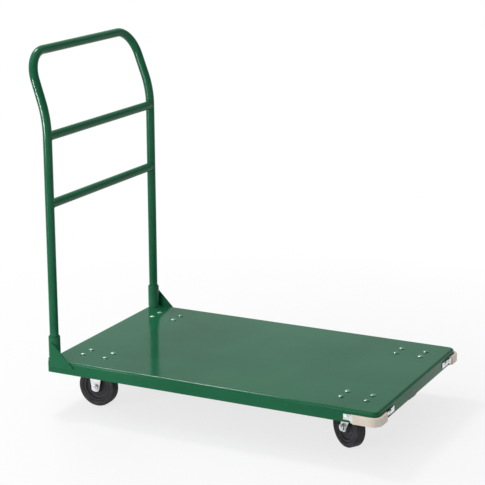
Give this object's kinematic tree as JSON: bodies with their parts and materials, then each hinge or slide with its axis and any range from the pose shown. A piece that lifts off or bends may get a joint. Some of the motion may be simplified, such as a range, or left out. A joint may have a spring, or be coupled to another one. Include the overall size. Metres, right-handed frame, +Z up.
{
  "type": "platform cart",
  "caption": "Steel platform cart with a lift-out tubular push handle, fixed rear casters and swivel front casters",
  "frame": {"origin": "on the floor, under the middle of the cart's bounding box", "axes": "+Z up; +X from the push handle towards the bumper end; +Y to the left of someone who pushes it"},
  "size_m": [1.0697, 0.62, 1.0254],
  "materials": {
    "green_paint": "glossy enamel",
    "zinc": "bright zinc plate",
    "rubber_tyre": "matt hard rubber",
    "wheel_moulding": "satin moulding",
    "cream_vinyl": "satin vinyl"
  },
  "bodies": {
    "deck": {"bolt_front_left_1": "green_paint", "bolt_front_left_2": "green_paint", "bolt_front_left_3": "green_paint", "bolt_front_left_4": "green_paint", "bolt_front_right_1": "green_paint", "bolt_front_right_2": "green_paint", "bolt_front_right_3": "green_paint", "bolt_front_right_4": "green_paint", "bolt_rear_left_1": "green_paint", "bolt_rear_left_2": "green_paint", "bolt_rear_left_3": "green_paint", "bolt_rear_left_4": "green_paint", "bolt_rear_right_1": "green_paint", "bolt_rear_right_2": "green_paint", "bolt_rear_right_3": "green_paint", "bolt_rear_right_4": "green_paint", "bumper_bolt_left_front": "zinc", "bumper_bolt_left_side": "zinc", "bumper_bolt_right_front": "zinc", "bumper_bolt_right_side": "zinc", "bumper_left": "cream_vinyl", "bumper_right": "cream_vinyl", "bumper_strap_left_front": "zinc", "bumper_strap_left_side": "zinc", "bumper_strap_right_front": "zinc", "bumper_strap_right_side": "zinc", "deck_pan": "green_paint", "deck_stiffener": "green_paint", "front_left_caster_plate": "zinc", "front_left_kingpin": "zinc", "front_right_caster_plate": "zinc", "front_right_kingpin": "zinc", "gusset_left": "green_paint", "gusset_right": "green_paint", "rear_left_axle_bolt": "zinc", "rear_left_axle_nut": "zinc", "rear_left_fork": "zinc", "rear_right_axle_bolt": "zinc", "rear_right_axle_nut": "zinc", "rear_right_fork": "zinc", "socket_left": "green_paint", "socket_right": "green_paint"},
    "handle": {"handle_tube": "green_paint", "upper_crossbar": "green_paint", "lower_crossbar": "green_paint"},
    "front_right_yoke": {"front_right_fork": "zinc", "front_right_axle_bolt": "zinc", "front_right_axle_nut": "zinc"},
    "front_right_wheel": {"front_right_tyre": "rubber_tyre", "front_right_wheel_core": "wheel_moulding"},
    "rear_right_wheel": {"rear_right_tyre": "rubber_tyre", "rear_right_wheel_core": "wheel_moulding"},
    "front_left_yoke": {"front_left_fork": "zinc", "front_left_axle_bolt": "zinc", "front_left_axle_nut": "zinc"},
    "front_left_wheel": {"front_left_tyre": "rubber_tyre", "front_left_wheel_core": "wheel_moulding"},
    "rear_left_wheel": {"rear_left_tyre": "rubber_tyre", "rear_left_wheel_core": "wheel_moulding"}
  },
  "joints": [
    {"name": "handle_lift", "type": "slide", "parent": "deck", "child": "handle", "axis": [0, 0, 1], "range_m": [0, 0.09]},
    {"name": "front_right_swivel", "type": "hinge", "parent": "deck", "child": "front_right_yoke", "pos_m": [0.42688, -0.2, 0.1], "axis": [0, 0, 1], "continuous": true},
    {"name": "front_right_spin", "type": "hinge", "parent": "front_right_yoke", "child": "front_right_wheel", "pos_m": [0.39805, -0.18198, 0.0575], "axis": [0.5299, 0.848, 0], "continuous": true},
    {"name": "rear_right_spin", "type": "hinge", "parent": "deck", "child": "rear_right_wheel", "pos_m": [-0.37012, -0.2, 0.0575], "axis": [0, 1, 0], "continuous": true},
    {"name": "front_left_swivel", "type": "hinge", "parent": "deck", "child": "front_left_yoke", "pos_m": [0.42688, 0.2, 0.1], "axis": [0, 0, 1], "continuous": true},
    {"name": "front_left_spin", "type": "hinge", "parent": "front_left_yoke", "child": "front_left_wheel", "pos_m": [0.39297, 0.20237, 0.0575], "axis": [0.0698, 0.9976, 0], "continuous": true},
    {"name": "rear_left_spin", "type": "hinge", "parent": "deck", "child": "rear_left_wheel", "pos_m": [-0.37012, 0.2, 0.0575], "axis": [0, 1, 0], "continuous": true}
  ]
}
